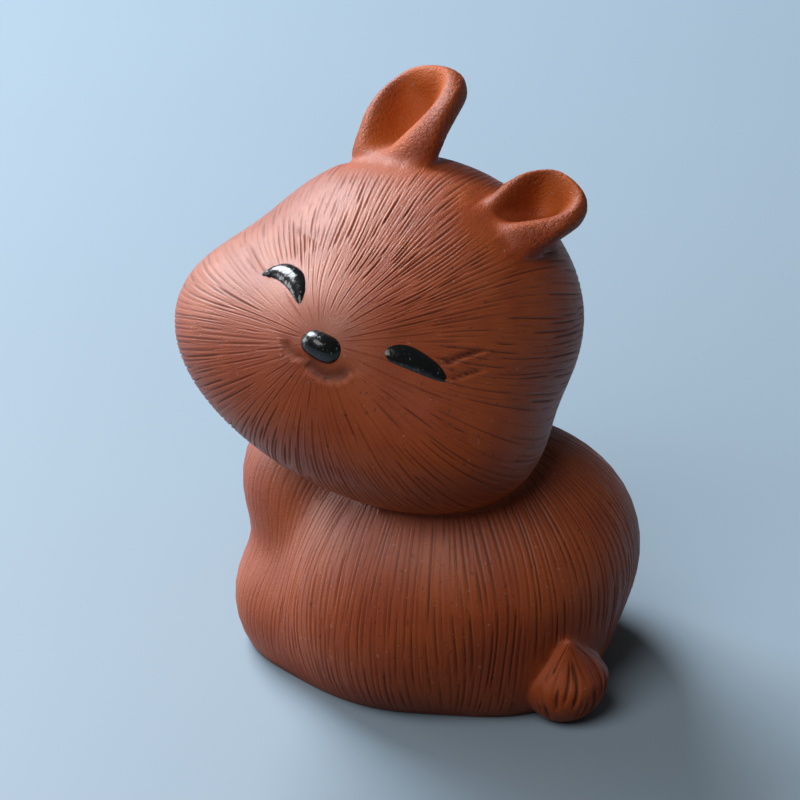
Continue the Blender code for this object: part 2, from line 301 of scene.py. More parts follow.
def earShape(name, bend):
    mesh, unit = ballMesh(name, *earForm["mesh"])
    along = 0.5 * (unit[:, 2] + 1.0)
    girth = np.sqrt(np.clip(1.0 - unit[:, 2] ** 2, 0.0, 1.0))
    around = np.arctan2(unit[:, 1], unit[:, 0])
    flare = np.minimum(earForm["flare"] * girth, 1.0)
    across = np.cos(around) * np.where(along > 0.5, girth ** earForm["blunt"], flare)
    full = np.minimum(earForm["fill"] * girth, 1.0)
    outer = np.sign(unit[:, 1]) * np.abs(np.sin(around)) ** earForm["squared"]
    spread = smooth(along, *earForm["spread"])
    wide = earForm["pocketWidth"] * (0.5 + 0.5 * spread)
    aside = np.cos(around) + earForm["shift"] * (1.6 - spread)
    pocket = np.clip(1.0 - (aside / wide) ** 2, 0.0, 1.0) ** earForm["pocketWall"]
    pocket = pocket * smooth(along, *earForm["pocketStart"]) * (1.0 - smooth(along, *earForm["pocketEnd"]))
    pocket = pocket * (unit[:, 1] < 0.0)
    behind = full * (0.5 * earForm["thick"] * outer + earForm["pocket"] * pocket)
    cup = earForm["cup"] * (across**2 - 0.5) * smooth(along, *earForm["cupStart"])
    behind -= cup * (1.0 - smooth(along, *earForm["cupEnd"]))
    across = 0.5 * bend["width"] * across
    twist = radians(bend["twist"])
    x = across * cos(twist) - behind * sin(twist)
    y = across * sin(twist) + behind * cos(twist)
    run, angle, backLine, upLine = earLine(bend)
    here = np.interp(along, run, angle)
    back = np.interp(along, run, backLine) + y * np.cos(here)
    up = np.interp(along, run, upLine) - y * np.sin(here)
    return shaped(name, mesh, headOut(earPlaced(bend, np.stack([x, back, up], 1))))


def besideEars(points, normals):  # 1 in the pockets of the ears, 0 away from them
    inside = np.zeros(len(points))
    for bend in (earForm["left"], earForm["right"]):
        run, angle, back, up = earLine(bend)
        line = earPlaced(bend, np.stack([np.zeros_like(run), back, up], 1))[::5]
        gap = np.linalg.norm(points[:, None, :] - line[None, :, :], axis=2).min(1)
        inside = np.maximum(inside, smooth(0.5 * bend["width"] - gap, *earForm["pocketGlow"]))
    return inside * smooth(-normals[:, 1], *earForm["pocketFacing"])


# tail and front paws

tailForm = {
    "mesh": (200, 40),
    "back": 19.6,
    "width": 9.0,
    "height": 9.8,
    "sink": 0.3,
    "point": 0.62,
    "tip": (-2.6, 1.7, 0.8),  # how far the tip leans from the middle, and how far it is drawn up
}
tailScore = {  # the fine lines scored down the tail; heights run from -1 at its foot to 1 at its tip
    "lines": 58,
    "stray": 0.3,
    "start": (-1.0, 0.2),
    "length": (0.5, 1.4),
    "deep": (0.08, 0.3),
    "wide": 0.04,
    "wave": 0.08,
    "ends": (0.25, 0.3),
}
pawForm = {
    "mesh": (48, 24),
    "reach": 17.0,
    "spread": 3.7,
    "length": 11.0,
    "width": 6.8,
    "height": 6.0,
    "sink": 0.4,
}
tailLines = [
    (
        2.0 * pi * (lane + rng.uniform(-tailScore["stray"], tailScore["stray"])) / tailScore["lines"],
        rng.uniform(*tailScore["start"]),
        rng.uniform(*tailScore["length"]),
        rng.uniform(*tailScore["deep"]),
    )
    for lane in range(tailScore["lines"])
]


def tailCut(around, height):  # depth of the lines at an angle round the tail and a height on it
    cut = np.zeros(len(around))
    fadeIn, fadeOut = tailScore["ends"]
    for angle, low, length, deep in tailLines:
        wave = tailScore["wave"] * np.sin(3.0 * height + 5.0 * angle)
        off = (around - angle - wave + pi) % (2.0 * pi) - pi
        high = low + length
        run = smooth(height, low, low + fadeIn) * (1.0 - smooth(height, high - fadeOut, high))
        cut = np.maximum(cut, deep * run * np.exp(-((off / tailScore["wide"]) ** 2)))
    return cut


def tailShape():
    mesh, unit = ballMesh("tail", *tailForm["mesh"])
    lift = np.clip(unit[:, 2], 0.0, 1.0)
    radius = 0.5 * tailForm["width"] * (1.0 - tailForm["point"] * lift**1.5)
    points = unit * np.stack([radius, radius, np.full_like(radius, 0.5 * tailForm["height"])], 1)
    points[:, 0] += tailForm["tip"][0] * lift**2
    points[:, 1] += tailForm["tip"][1] * lift**2
    points[:, 2] += tailForm["tip"][2] * lift**4
    place = np.array([-tailForm["back"], 0.0, 0.5 * tailForm["height"] - tailForm["sink"]])
    return shaped("tail", mesh, bodyOut(place + points))


def pawShape(name, side):
    mesh, unit = ballMesh(name, *pawForm["mesh"])
    half = 0.5 * np.array([pawForm["length"], pawForm["width"], pawForm["height"]])
    place = np.array([pawForm["reach"] - half[0], side * pawForm["spread"], half[2] - pawForm["sink"]])
    return shaped(name, mesh, bodyOut(place + unit * half))


# the hollow inside, its vent, and the ground that cuts the foot flat

hollow = {
    "mesh": (48, 24),
    "wall": 3.6,
    "vent": 9.0,
    "ventAt": (0.4, -0.3),
    "ventSides": 64,
    "ground": (80.0, 20.0),  # side and depth of the block that cuts the foot
}


def chamberShapes():
    mesh, unit = ballMesh("bodyChamber", *hollow["mesh"])
    low = surfaceAlong(np.asarray(bodyForm["middle"]), unit, bodyMasses, bodyForm["blend"], hollow["wall"])
    low[:, 2] = np.maximum(low[:, 2], hollow["wall"])
    bodyChamber = shaped("bodyChamber", mesh, bodyOut(low))
    mesh, unit = ballMesh("headChamber", *hollow["mesh"])
    high = surfaceAlong(np.zeros(3), unit, headMasses, headForm["blend"], hollow["wall"])
    headChamber = shaped("headChamber", mesh, headOut(high))
    return [bodyChamber, headChamber]


def ventShape():
    bm = bmesh.new()
    bmesh.ops.create_cone(bm, cap_ends=True, segments=hollow["ventSides"], radius1=0.5, radius2=0.5, depth=1.0)
    mesh = bpy.data.meshes.new("vent")
    bm.to_mesh(mesh)
    bm.free()
    height = headForm["at"][2] + hollow["wall"]
    points = placesOf(mesh) * np.array([hollow["vent"], hollow["vent"], height])
    return shaped("vent", mesh, points + np.array([*hollow["ventAt"], 0.5 * height - hollow["wall"]]))


def groundShape():
    bm = bmesh.new()
    bmesh.ops.create_cube(bm, size=1.0)
    mesh = bpy.data.meshes.new("ground")
    bm.to_mesh(mesh)
    bm.free()
    side, depth = hollow["ground"]
    points = placesOf(mesh) * np.array([side, side, depth]) - np.array([0.0, 0.0, 0.5 * depth])
    return shaped("ground", mesh, points)


seams = {  # the clay is rounded where one form runs into the next
    "sharp": 22.0,  # degrees between two faces that meet at a seam
    "reach": 1.5,  # how far from a seam the rounding goes
    "rounds": 20,
    "creaseRounds": 3,  # the crease below the head stays crisper than the roots of the ears
    "crease": 0.6,  # how near the body's skin that crease lies
    "depth": 1.2,  # what lies deeper in the clay is an inner wall, and is left alone
    "foot": (0.8, 0.4),  # heights below which no seam counts, and no point moves
}


def bodyGap(place):  # how far outside the body's skin a place lies
    return clayField(bodyIn(np.array([place[:]]) / mm), bodyMasses, bodyForm["blend"])[0]


def headGap(place):
    return clayField(headIn(np.array([place[:]]) / mm), headMasses, headForm["blend"])[0]


def softenSeams(mesh):
    bm = bmesh.new()
    bm.from_mesh(mesh)
    limit = cos(radians(seams["sharp"]))
    seam = set()
    for edge in bm.edges:
        if len(edge.link_faces) == 2 and edge.link_faces[0].normal.dot(edge.link_faces[1].normal) < limit:
            seam.update(edge.verts)
    seamFoot, footEdge = seams["foot"]
    seam = [v for v in seam if v.co.z > seamFoot * mm and -min(headGap(v.co), bodyGap(v.co)) < seams["depth"]]
    tree = KDTree(len(seam))
    for index, vertex in enumerate(seam):
        tree.insert(vertex.co, index)
    tree.balance()
    near = [v for v in bm.verts if tree.find(v.co)[2] < seams["reach"] * mm and v.co.z > footEdge * mm]
    crease = {v for v in near if bodyGap(v.co) < seams["crease"]}
    for done in range(seams["rounds"]):
        if done == seams["creaseRounds"]:
            near = [v for v in near if v not in crease]
        bmesh.ops.smooth_vert(bm, verts=near, factor=0.5, use_axis_x=True, use_axis_y=True, use_axis_z=True)
    bm.to_mesh(mesh)
    bm.free()
    print("softened", len(near), "points near", len(seam), "seam points")


def makeClay():
    clay = bodyShape()
    parts = [headShape(), tailShape(), pawShape("pawLeft", 1), pawShape("pawRight", -1)]
    parts += [earShape("earLeft", earForm["left"]), earShape("earRight", earForm["right"])]
    clay = joined(clay, parts, "UNION")
    print("forms joined:", len(clay.data.vertices), "points")
    softenSeams(clay.data)
    clay = joined(clay, [*chamberShapes(), ventShape(), groundShape()], "DIFFERENCE")
    print("hollowed:", sum(len(face.vertices) - 2 for face in clay.data.polygons), "triangles")
    return clay


clay = makeClay()
clay.name = "rabbitClay"
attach(clay, "root")
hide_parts("rabbit_figure")


# combing: rows of staggered strokes that run back from the nose over the head, and down from the neck over the body

combing = {
    "head": {
        "lanes": [(8.0, 40), (20.0, 40), (36.0, 80)],  # degrees from the nose at which more lanes begin, and how many
        "last": 163.0,
        "stroke": (9.0, 36.0),
        "gap": 2.0,
        "deep": (0.05, 0.18),
    },
    "body": {
        "lanes": [(30.0, 84), (35.0, 84)],  # degrees from the top
        "last": 128.0,
        "stroke": (14.0, 46.0),
        "gap": 2.0,
        "deep": (0.07, 0.18),
    },
    "ragged": (-2.5, 4.0),  # degrees by which the first stroke of a lane is early or late
    "stray": 1,  # columns by which a stroke leaves its lane
    "wide": (0.07, 0.13),  # half width of a stroke
    "runIn": 0.8,
    "runOut": 2.2,
    "light": (9.0, 42.0),  # degrees from the nose over which the comb came to press fully
    "lightest": 0.42,
    "lip": 0.2,  # height of the burr along a stroke, as a share of its depth
    "lipAt": 1.4,  # how far out the burr lies, in half widths of its stroke
    "lipWide": 0.6,
}


def polar(points, pole):  # angle round the pole, angle from the pole and distance from the pole's axis
    if pole == "head":
        side, up, along = points[:, 0], points[:, 2], -points[:, 1]
    else:
        side, up, along = points[:, 1], points[:, 0], points[:, 2]
    out = np.hypot(side, up)
    return np.arctan2(side, up), np.arctan2(out, along), out


def strokeCut(points, pole):  # how deep the comb went at each point, and how much clay it pushed up
    plan, columns = combing[pole], skin[pole]["columns"]
    around, down, out = polar(points, pole)
    column = unswayed(around, down, skin[pole]["sway"]) / (2.0 * pi) * columns
    spacing = np.maximum(2.0 * pi * out / columns, 1e-3)
    reach = np.linalg.norm(points, axis=1)
    cut = np.zeros(len(points))
    burr = np.zeros(len(points))
    started = 0
    for first, count in plan["lanes"]:
        step = columns // count
        offset = started and step // 2
        started += count
        for lane in range(count):
            angle = first + rng.uniform(*combing["ragged"])
            while angle < plan["last"]:
                length = rng.uniform(*plan["stroke"])
                low, high = radians(angle), radians(angle + length)
                centre = lane * step + offset + rng.integers(-combing["stray"], combing["stray"] + 1)
                wide = rng.uniform(*combing["wide"])
                deep = rng.uniform(*plan["deep"])
                angle += length + plan["gap"] * rng.standard_normal()
                near = np.nonzero((down > low) & (down < high))[0]
                off = np.abs((column[near] - centre + 0.5 * columns) % columns - 0.5 * columns)
                half = np.maximum(wide / spacing[near], 1.0)
                keep = off < 3.0 * half
                near, off, half = near[keep], off[keep], half[keep]
                start = smooth((down[near] - low) * reach[near], 0.0, combing["runIn"])
                end = smooth((high - down[near]) * reach[near], 0.0, combing["runOut"])
                if pole == "head":
                    pressed = smooth(np.degrees(down[near]), *combing["light"])
                    deep = deep * (combing["lightest"] + (1.0 - combing["lightest"]) * pressed)
                deep = deep * start * end
                cut[near] = np.maximum(cut[near], deep * np.clip(1.0 - off / half, 0.0, 1.0))
                ridge = np.exp(-(((off - combing["lipAt"] * half) / (combing["lipWide"] * half)) ** 2))
                burr[near] = np.maximum(burr[near], combing["lip"] * deep * ridge)
    return cut, burr


# small marks made with a tool on the face: places (side, up) along the mark, its width above and below them,
# its depth, and the clay it pushed up

faceMarks = {
    "mouthLeft": {
        "line": [(-3.3, -1.9), (-2.6, -2.3), (-1.8, -2.42), (-1.0, -2.2)],
        "above": 0.55, "below": 0.28, "deep": 0.26, "burr": 0.16,
    },
    "philtrum": {
        "line": [(-0.75, -1.9), (-0.75, -2.6), (-0.35, -3.1)],
        "above": 0.3, "below": 0.3, "deep": 0.2, "burr": 0.0,
    },
    "mouthRight": {
        "line": [(0.1, -2.8), (1.1, -2.95), (1.9, -2.85), (2.7, -2.45), (3.2, -2.0)],
        "above": 1.3, "below": 0.32, "deep": 0.44, "burr": 0.12,
    },
    "squintHigh": {
        "line": [(10.5, 2.8), (10.85, 3.4), (11.3, 3.9), (11.9, 4.45)],
        "above": 0.22, "below": 0.24, "deep": 0.5, "burr": 0.2,
    },
    "squintLow": {
        "line": [(11.7, 1.7), (12.3, 2.4), (12.95, 2.95)],
        "above": 0.2, "below": 0.22, "deep": 0.44, "burr": 0.16,
    },
    "brow": {
        "line": [(-9.8, 6.3), (-8.7, 6.5), (-7.3, 6.65)],
        "above": 0.2, "below": 0.2, "deep": 0.2, "burr": 0.08,
    },
    "nickHigh": {
        "line": [(13.4, -2.2), (14.2, -2.5)],
        "above": 0.2, "below": 0.2, "deep": 0.22, "burr": 0.05,
    },
    "nickLow": {
        "line": [(15.0, -2.9), (15.8, -3.4)],
        "above": 0.16, "below": 0.16, "deep": 0.2, "burr": 0.05,
    },
}
markTool = {"front": 4.0, "lipAt": 2.0, "lipWide": 0.8}  # how far forward the face begins; the burr as in combing


def markCut(points):  # the same for the marks on the face, measured square to it
    flat = points[:, [0, 2]]
    front = points[:, 1] < -markTool["front"]
    cut = np.zeros(len(points))
    burr = np.zeros(len(points))
    for mark in faceMarks.values():
        line = np.array(mark["line"])
        nearest = np.full(len(points), 99.0)
        above = np.zeros(len(points), bool)
        for start, stop in zip(line[:-1], line[1:]):
            run = stop - start
            away = flat - start
            share = np.clip((away @ run) / (run @ run), 0.0, 1.0)
            far = np.linalg.norm(away - share[:, None] * run, axis=1)
            above = np.where(far < nearest, run[0] * away[:, 1] - run[1] * away[:, 0] > 0.0, above)
            nearest = np.minimum(nearest, far)
        wide = np.where(above, mark["above"], mark["below"])
        cut = np.maximum(cut, front * mark["deep"] * np.exp(-((nearest / wide) ** 2)))
        ridge = np.exp(-(((nearest - markTool["lipAt"] * wide) / (markTool["lipWide"] * wide)) ** 2)) * ~above
        burr = np.maximum(burr, front * mark["burr"] * ridge)
    return cut, burr


# where the comb went, and where it kept clear: places stand in the head's frame, and each span says
# where the combing begins and where it is whole
bare = {
    "ears": (4.0, 6.2),
    "tail": (4.8, 6.2),
    "foot": (0.5, 2.0),
    "spots": [  # nose, left eye, right eye: middle and how far
        ((0.1, -18.7, -1.2), 2.3),
        ((-6.9, -14.8, 2.9), 2.3),
        ((8.4, -15.0, 1.9), 2.2),
    ],
    "spotEdge": (-0.9, 0.5),
    "underHead": (0.3, 1.6),  # how far from the other mass
    "underNeck": (0.2, 1.2),
    "skinDepth": (-0.5, -0.12),  # how far off its own smooth skin a point may be
    "faceDepth": (-1.2, -0.5),  # the same for the marks on the face
    "marked": (0.02, 0.1),  # depth of a mark that wipes out the strokes under it
    "tailSkin": (0.2, 1.0),  # how far out of the body the tail's lines begin
    "tailFoot": (0.6, 1.6),
    "tailReach": 7.5,
    "faint": {"heading": 48.0, "span": (18.0, 52.0), "share": 0.35},  # the side on which the body is combed lightly
}
layerForm = {  # what the finish is told about each place
    "grooveFull": 0.17,  # depth at which a stroke's painted shade is at its darkest
    "scoreFull": 0.22,
    "markTint": 0.35,  # the painted shade in the marks on the face stays lighter
    "earOffHead": (0.3, 1.6),
    "earOffBody": (2.0, 4.0),
    "earAbove": 6.0,
    "rubbed": (-0.05, 0.75),  # how far up a place faces, from not at all rubbed to wholly
    "rubbedBody": 0.9,
    "earRoots": (4.0, 8.0),  # the gloss fades towards the roots of the ears
    "earRootShare": 0.25,
}


def fromEarRoot(head, bend):
    return np.linalg.norm(head - earRoot(bend), axis=1)


def combClay(clay):
    mesh = clay.data
    points = placesOf(mesh) / mm
    normals = np.empty(len(points) * 3)
    mesh.vertex_normals.foreach_get("vector", normals)
    normals = normals.reshape(-1, 3)
    bends = (earForm["left"], earForm["right"])
    head, body = headIn(points), bodyIn(points)
    headField = clayField(head, headMasses, headForm["blend"])
    bodyField = clayField(body, bodyMasses, bodyForm["blend"])
    onHead = smooth(-np.abs(headField), *bare["skinDepth"]) * smooth(bodyField, *bare["underHead"])
    onBody = smooth(-np.abs(bodyField), *bare["skinDepth"]) * smooth(headField, *bare["underNeck"])
    onBody *= smooth(points[:, 2], *bare["foot"])
    for bend in bends:
        onHead *= smooth(fromEarRoot(head, bend), *bare["ears"])
    inner, outer = bare["spotEdge"]
    for place, far in bare["spots"]:
        onHead *= smooth(np.linalg.norm(head - np.array(place), axis=1), far + inner, far + outer)
    tail = body - np.array([-tailForm["back"], 0.0, 0.5 * tailForm["height"]])
    tailGap = np.linalg.norm(tail, axis=1)
    onBody *= smooth(tailGap, *bare["tail"])
    faint = bare["faint"]
    heading = np.degrees(np.arctan2(body[:, 1], body[:, 0]))
    aside = smooth(np.abs(heading - faint["heading"]), *faint["span"])
    onBody *= faint["share"] + (1.0 - faint["share"]) * aside

    headCut, headBurr = strokeCut(head, "head")
    bodyCut, bodyBurr = strokeCut(body - np.asarray(bodyForm["middle"]), "body")
    faceCut, faceBurr = markCut(head)
    onFace = smooth(-np.abs(headField), *bare["faceDepth"])
    cut = headCut * onHead + bodyCut * onBody
    burr = headBurr * onHead + bodyBurr * onBody
    marked = smooth(faceCut, *bare["marked"]) * onFace
    cut = cut * (1.0 - marked) + faceCut * onFace
    burr = burr * (1.0 - marked) + faceBurr * onFace

    height = np.clip(2.0 * tail[:, 2] / tailForm["height"], -1.0, 1.0)
    lift = np.clip(height, 0.0, 1.0) ** 2
    around = np.arctan2(tail[:, 1] - tailForm["tip"][1] * lift, tail[:, 0] - tailForm["tip"][0] * lift)
    onTail = smooth(bodyField, *bare["tailSkin"]) * (tailGap < bare["tailReach"])
    onTail *= smooth(tail[:, 2] + 0.5 * tailForm["height"], *bare["tailFoot"])
    scored = tailCut(around, height) * onTail
    setPlaces(mesh, points + (burr - cut - scored)[:, None] * normals)

    onEar = smooth(headField, *layerForm["earOffHead"]) * smooth(bodyField, *layerForm["earOffBody"])
    onEar *= head[:, 2] > layerForm["earAbove"]
    # inside the pockets, where the finish paints a warm glow of bounced light
    inEar = onEar * besideEars(head, normals @ headAxes)
    # darkness for the strokes, marks and tail lines: painted shade in these grooves, partly the darker residue they
    # hold
    tint = cut * (1.0 - (1.0 - layerForm["markTint"]) * marked) / layerForm["grooveFull"]
    rubbed = smooth(normals[:, 2], *layerForm["rubbed"]) * (1.0 - inEar)
    rubbed *= np.where(bodyField < headField, layerForm["rubbedBody"], 1.0)
    rootShare = layerForm["earRootShare"]
    for bend in bends:
        rubbed *= rootShare + (1.0 - rootShare) * smooth(fromEarRoot(head, bend), *layerForm["earRoots"])
    layers = {
        "groove": tint + scored / layerForm["scoreFull"],
        "headHair": onHead,
        "bodyHair": onBody,
        "onEar": onEar,
        "inEar": inEar,
        "rubbed": rubbed,
    }
    for name, values in layers.items():
        layer = mesh.attributes.new(name, "FLOAT", "POINT")
        layer.data.foreach_set("value", np.clip(values, 0.0, 1.0).astype(np.float32))
    mesh.shade_smooth()
    print("combed:", int((cut > 0.05).sum()), "points cut")


combClay(clay)


# glaze on the eyes and the nose: small domed beads that follow the head

glazeForm = {
    "eyeLeft": {"ends": ((-9.85, 1.9), (-4.0, 2.1)), "bow": 1.25, "width": 1.75, "blunt": 0.22, "proud": 0.55},
    "eyeRight": {"ends": ((5.45, 1.9), (11.3, 1.25)), "bow": 0.3, "width": 1.75, "blunt": -0.35, "proud": 0.5},
    "nose": {"ends": ((-2.05, -0.5), (2.1, -0.35)), "bow": 0.05, "width": 2.6, "blunt": 0.05, "proud": 1.1},
}
glazeDrop = {"mesh": (64, 40), "bowCurve": 2.4, "crown": 1.4, "sink": 0.04}  # the same for every bead


def onFaceAt(side, up):  # the head's surface straight in front of each place, and the way it faces
    start = np.stack([side, np.zeros_like(side), up], 1)
    place = surfaceAlong(start, np.tile([0.0, -1.0, 0.0], (len(start), 1)), headMasses, headForm["blend"])
    return place, facing(place, headMasses, headForm["blend"])


def glazeBead(name, form):
    mesh, unit = ballMesh(name, *glazeDrop["mesh"], Matrix.Rotation(pi / 2, 4, "Y"))
    along = np.clip(unit[:, 0], -1.0, 1.0)
    start, stop = np.array(form["ends"])
    middle, run = 0.5 * (start + stop), 0.5 * (stop - start)
    across = np.array([-run[1], run[0]]) / np.linalg.norm(run)
    fuller = np.sqrt((1.0 - np.abs(along) ** 3) / np.maximum(1.0 - along**2, 1e-6))  # blunter ends than an oval's
    wide = 0.5 * form["width"] * (1.0 + form["blunt"] * along) * unit[:, 2] * fuller
    bow = form["bow"] * (1.0 - np.abs(along) ** glazeDrop["bowCurve"])
    flat = middle + along[:, None] * run + (bow + wide)[:, None] * across
    place, way = onFaceAt(flat[:, 0], flat[:, 1])
    crown = np.abs(unit[:, 1]) ** glazeDrop["crown"] * np.where(unit[:, 1] < 0.0, 1.0, -1.0)
    depth = form["proud"] * crown - glazeDrop["sink"]
    piece = shaped(name, mesh, headOut(place + depth[:, None] * way))
    piece.data.shade_smooth()
    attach(piece, "root")
    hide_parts("rabbit_figure")
    return piece


beads = [glazeBead(name, form) for name, form in glazeForm.items()]
print("glaze:", len(beads), "beads")


# finishes

class Wire:  # a socket, so that shader maths can be written as sums
    def __init__(self, finish, socket):
        self.finish, self.socket = finish, socket

    def sum(self, operation, first, second):
        return self.finish.node("ShaderNodeMath", {"operation": operation}, {0: first, 1: second})

    def __add__(self, other):
        return self.sum("ADD", self, other)

    def __radd__(self, other):
        return self.sum("ADD", other, self)

    def __sub__(self, other):
        return self.sum("SUBTRACT", self, other)

    def __rsub__(self, other):
        return self.sum("SUBTRACT", other, self)

    def __mul__(self, other):
        return self.sum("MULTIPLY", self, other)

    def __rmul__(self, other):
        return self.sum("MULTIPLY", other, self)

    def __truediv__(self, other):
        return self.sum("DIVIDE", self, other)

    def __pow__(self, other):
        return self.sum("POWER", self, other)


class Finish:
    def __init__(self, name, roughness, constants):
        self.material = bpy.data.materials.new(name)
        self.material.use_nodes = True
        self.nodes = self.material.node_tree.nodes
        self.links = self.material.node_tree.links
        self.shader = self.nodes["Principled BSDF"]
        self.shader.inputs["Roughness"].default_value = roughness
        for socket, value in constants.items():
            self.shader.inputs[socket].default_value = value

    def node(self, kind, settings=None, sockets=None, output=0):
        made = self.nodes.new(kind)
        for key, value in (settings or {}).items():
            setattr(made, key, value)
        for key, value in (sockets or {}).items():
            if isinstance(value, Wire):
                self.links.new(value.socket, made.inputs[key])
            else:
                made.inputs[key].default_value = value
        return Wire(self, made.outputs[output])

    def feed(self, socket, wire):
        self.links.new(wire.socket, self.shader.inputs[socket])

    def noise(self, where, scale, detail=2.0, rough=0.5):
        sockets = {"Vector": where, "Scale": scale, "Detail": detail, "Roughness": rough}
        return self.node("ShaderNodeTexNoise", {}, sockets)

    def ramp(self, value, low, high):  # 0 at low, 1 at high, smooth between
        settings = {"interpolation_type": "SMOOTHSTEP"}
        return self.node("ShaderNodeMapRange", settings, {"Value": value, "From Min": low, "From Max": high})

    def blend(self, share, first, second):
        settings = {"data_type": "RGBA", "clamp_factor": True}
        return self.node("ShaderNodeMix", settings, {0: share, 6: first, 7: second}, 2)

    def bump(self, height, strength, distance):
        sockets = {"Strength": strength, "Distance": distance * mm, "Height": height}
        self.feed("Normal", self.node("ShaderNodeBump", {}, sockets))

    def attribute(self, name):
        return self.node("ShaderNodeAttribute", {"attribute_name": name}, {}, 2)


def combedNoise(finish, place, axes, at, pole, fine):  # noise drawn out along the strokes of one mass
    euler = Matrix(axes.tolist()).to_euler()
    where = finish.node(
        "ShaderNodeMapping",
        {"vector_type": "TEXTURE"},
        {"Vector": place, "Location": [v * mm for v in at], "Rotation": euler, "Scale": (mm, mm, mm)},
    )
    split = [finish.node("ShaderNodeSeparateXYZ", {}, {0: where}, index) for index in range(3)]
    side, out, along = (split[0], split[2], -1.0 * split[1]) if pole == "head" else (split[1], split[0], split[2])
    radius = (side * side + out * out) ** 0.5
    down = finish.node("ShaderNodeMath", {"operation": "ARCTAN2"}, {0: radius, 1: along})
    sockets = {0: side / radius * fine, 1: out / radius * fine, 2: down * 3.0}
    return finish.noise(finish.node("ShaderNodeCombineXYZ", {}, sockets), 1.0, 2.0, 0.6)


clayLook = {
    "tones": {
        "mid": (0.320, 0.055, 0.012, 1.0),
        "warm": (0.380, 0.076, 0.016, 1.0),
        "dark": (0.060, 0.011, 0.004, 1.0),
        "pale": (0.42, 0.20, 0.14, 1.0),
        # ear: a painted warm glow of light bounced inside the ear's pocket, not the clay's own colour
        "ear": (0.46, 0.094, 0.012, 1.0),
    },
    "noise": {  # how fine, how detailed, how rough
        "cloud": (160.0, 3.0, 0.5),
        "grain": (6500.0, 2.0, 0.6),
        "grit": (1500.0, 1.0, 0.5),
        "pebbles": (4600.0, 1.0, 0.5),
        "pits": (2100.0, 0.0, 0.5),
        "pale": (2600.0, 0.0, 0.5),
        "coarse": (2700.0, 2.0, 0.6),
    },
    "spans": {  # from where to where a noise or a layer counts
        "warm": (0.35, 0.68),
        "pits": (0.77, 0.82),
        "pale": (0.80, 0.83),
        "coarse": (0.42, 0.66),
        "grain": (0.56, 0.74),
        "groove": (0.1, 0.9),
        "comb": (0.0, -0.3),
    },
    "combFine": {"head": 70.0, "body": 76.0},
    "pocketGlow": 0.85,  # how much of the ear's tone, a painted warm glow of bounced light, shows in its pocket
    "specks": 0.6,
    # groove and comb: painted shade in the strokes, the grooves partly darker residue too; pits, grain and coarse:
    # the clay's own dark grains
    "darken": {"groove": 0.68, "comb": 0.3, "pits": 0.4, "grain": 0.14, "coarse": 0.36},
    "pocketSmooth": 0.8,  # how much less coarse the pocket is than the back of the ear
    "raise": {"comb": 1.1, "grain": 1.2, "grit": 0.3, "pits": 0.5, "pale": 0.3, "pebbles": 1.2, "coarse": 0.9},
    "roughness": 0.43,
    "rougher": {"cloud": 0.12, "grain": 0.2, "groove": 0.2, "ear": 0.12},
    "gloss": {"least": 0.7, "cloud": 0.5, "ear": 0.5},  # the clay is rubbed glossy from above, less so on the ears
    "fixed": {"IOR": 1.5, "Specular IOR Level": 0.3, "Coat IOR": 1.5, "Coat Roughness": 0.58},
    "bump": 0.6,
    "bumpDistance": 0.12,
}


def clayFinish():
    look = clayLook
    tones, spans, darken, lift = look["tones"], look["spans"], look["darken"], look["raise"]
    finish = Finish("redClay", look["roughness"], look["fixed"])
    place = finish.node("ShaderNodeTexCoord", {}, {}, 3)
    noises = {name: finish.noise(place, *values) for name, values in look["noise"].items()}
    names = ("groove", "headHair", "bodyHair", "onEar", "inEar", "rubbed")
    groove, headHair, bodyHair, onEar, inEar, rubbed = (finish.attribute(name) for name in names)
    headComb = combedNoise(finish, place, headAxes, headForm["at"], "head", look["combFine"]["head"])
    middle = bodyOut(np.asarray(bodyForm["middle"]))
    bodyComb = combedNoise(finish, place, bodyAxes, middle, "body", look["combFine"]["body"])
    comb = (headComb - 0.5) * headHair + (bodyComb - 0.5) * bodyHair
    cloud, grain, grit = noises["cloud"], noises["grain"], noises["grit"]
    pebbles = noises["pebbles"] * onEar
    pits = finish.ramp(noises["pits"], *spans["pits"]) * (1.0 - onEar)
    pale = finish.ramp(noises["pale"], *spans["pale"])
    coarse = finish.ramp(noises["coarse"], *spans["coarse"])

    colour = finish.blend(finish.ramp(cloud, *spans["warm"]), tones["mid"], tones["warm"])
    # painted warm bounce light inside the ear pockets
    colour = finish.blend(inEar * look["pocketGlow"], colour, tones["ear"])
    # painted shade in the grooves and fine comb lines, partly residue in the grooves
    shade = finish.ramp(groove, *spans["groove"]) * darken["groove"]
    shade = shade + finish.ramp(comb, *spans["comb"]) * darken["comb"] + pits * darken["pits"]
    shade = shade + finish.ramp(grain, *spans["grain"]) * darken["grain"]
    shade = shade + coarse * onEar * (1.0 - inEar) * darken["coarse"]
    colour = finish.blend(shade, colour, tones["dark"])
    finish.feed("Base Color", finish.blend(pale * look["specks"], colour, tones["pale"]))

    rougher = look["rougher"]
    dull = look["roughness"] + (cloud - 0.5) * rougher["cloud"] + (grain - 0.5) * rougher["grain"]
    finish.feed("Roughness", dull + groove * rougher["groove"] + onEar * rougher["ear"])
    gloss = look["gloss"]
    finish.feed("Coat Weight", rubbed * (1.0 - onEar * gloss["ear"]) * (gloss["least"] + cloud * gloss["cloud"]))

    height = comb * lift["comb"] + (grain - 0.5) * lift["grain"] + (grit - 0.5) * lift["grit"]
    height = height - pits * lift["pits"] + pale * lift["pale"] + pebbles * lift["pebbles"]
    height = height - coarse * onEar * (1.0 - inEar * look["pocketSmooth"]) * lift["coarse"]
    finish.bump(height, look["bump"], look["bumpDistance"])
    return finish.material


